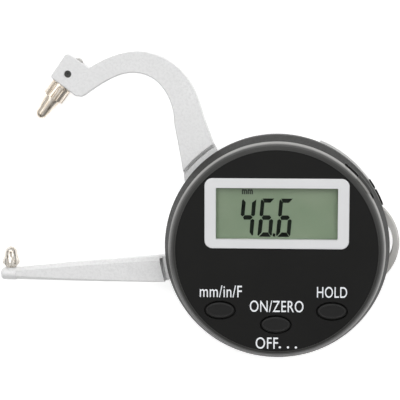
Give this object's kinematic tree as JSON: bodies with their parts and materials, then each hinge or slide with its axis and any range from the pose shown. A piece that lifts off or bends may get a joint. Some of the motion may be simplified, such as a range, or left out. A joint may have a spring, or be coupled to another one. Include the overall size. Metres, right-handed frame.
{
  "type": "digital external caliper gauge",
  "caption": "Digital external caliper gauge: round black case with display and oval buttons, a fixed arm and a swinging arm with ball ends, and a finger lever.",
  "frame": {"origin": "on the arm pivot's axis, at the flat rear face of the case, on which the gauge lies", "axes": "+Z out of the rear face towards the display, -X the way the arms reach, +Y towards the swinging arm's side"},
  "size_m": [0.1404, 0.1059, 0.0267],
  "materials": {
    "case_black": "fine texture, satin",
    "label_black": "matt printed sheet with plain white function words",
    "button_black": "satin moulding",
    "silver_frame": "pale silver, satin",
    "clear_lens": "clear",
    "display_green": "grey-green liquid-crystal panel",
    "inner_plastic": "plain moulding",
    "strip_rubber": "conductive rubber",
    "board_green": "solder-masked board",
    "chip_black": "epoxy package",
    "arm_metal": "satin, fine blasted",
    "frame_metal": "machined",
    "lever_metal": "grey cast, satin",
    "contact_steel": "turned, warm grey",
    "inner_steel": "turned",
    "spring_steel": "blued strip",
    "bush_bronze": "turned bronze",
    "screw_dark": "black oxide",
    "rotor_glass": "etched film on board",
    "cell_steel": "nickel plated",
    "contact_brass": "gold-plated spring strip",
    "pad_rubber": "ribbed"
  },
  "bodies": {
    "case": {"back_cover": "case_black", "case_screws": "screw_dark", "base_frame": "frame_metal", "case_body": "case_black", "front_cover": "case_black", "face_label": "label_black", "window_frame": "silver_frame", "window_lens": "clear_lens", "display_glass": "display_green", "display_holder": "inner_plastic", "display_strips": "strip_rubber", "main_board": "board_green", "board_screws": "inner_steel", "processor": "chip_black", "key_domes": "contact_brass", "battery_contact_below": "contact_brass", "battery_contact_above": "contact_brass", "pivot_shaft": "inner_steel", "retaining_ring": "spring_steel", "spring_post": "inner_steel", "stop_pin": "inner_steel", "return_spring": "spring_steel", "fixed_arm": "arm_metal", "fixed_arm_screws": "inner_steel", "lower_contact": "contact_steel"},
    "arm": {"upper_arm": "arm_metal", "upper_contact": "contact_steel", "contact_set_screw": "screw_dark", "contact_end_screw": "contact_steel", "finger_lever": "lever_metal", "lever_screws": "inner_steel", "thumb_pad": "pad_rubber", "lower_bushing": "bush_bronze", "upper_bushing": "bush_bronze", "encoder_rotor": "rotor_glass"},
    "drawer": {"battery_drawer": "case_black", "coin_cell": "cell_steel"},
    "button_left": {"button_left": "button_black"},
    "button_middle": {"button_middle": "button_black"},
    "button_right": {"button_right": "button_black"}
  },
  "joints": [
    {"name": "arm_pivot", "type": "hinge", "parent": "case", "child": "arm", "pos_m": [0, 0, 0.0073], "axis": [0, 0, 1], "range_deg": [-2.15, 28.66], "stiffness_Nm_per_rad": 0.08, "springref_deg": 80.21, "deforming": ["return_spring"]},
    {"name": "battery_drawer_slide", "type": "slide", "parent": "case", "child": "drawer", "axis": [0.7848, 0.6198, 0], "range_m": [0, 0.024]},
    {"name": "button_left_press", "type": "slide", "parent": "case", "child": "button_left", "axis": [0, 0, -1], "range_m": [0, 0.0007], "stiffness_N_per_m": 700},
    {"name": "button_middle_press", "type": "slide", "parent": "case", "child": "button_middle", "axis": [0, 0, -1], "range_m": [0, 0.0007], "stiffness_N_per_m": 700},
    {"name": "button_right_press", "type": "slide", "parent": "case", "child": "button_right", "axis": [0, 0, -1], "range_m": [0, 0.0007], "stiffness_N_per_m": 700}
  ]
}
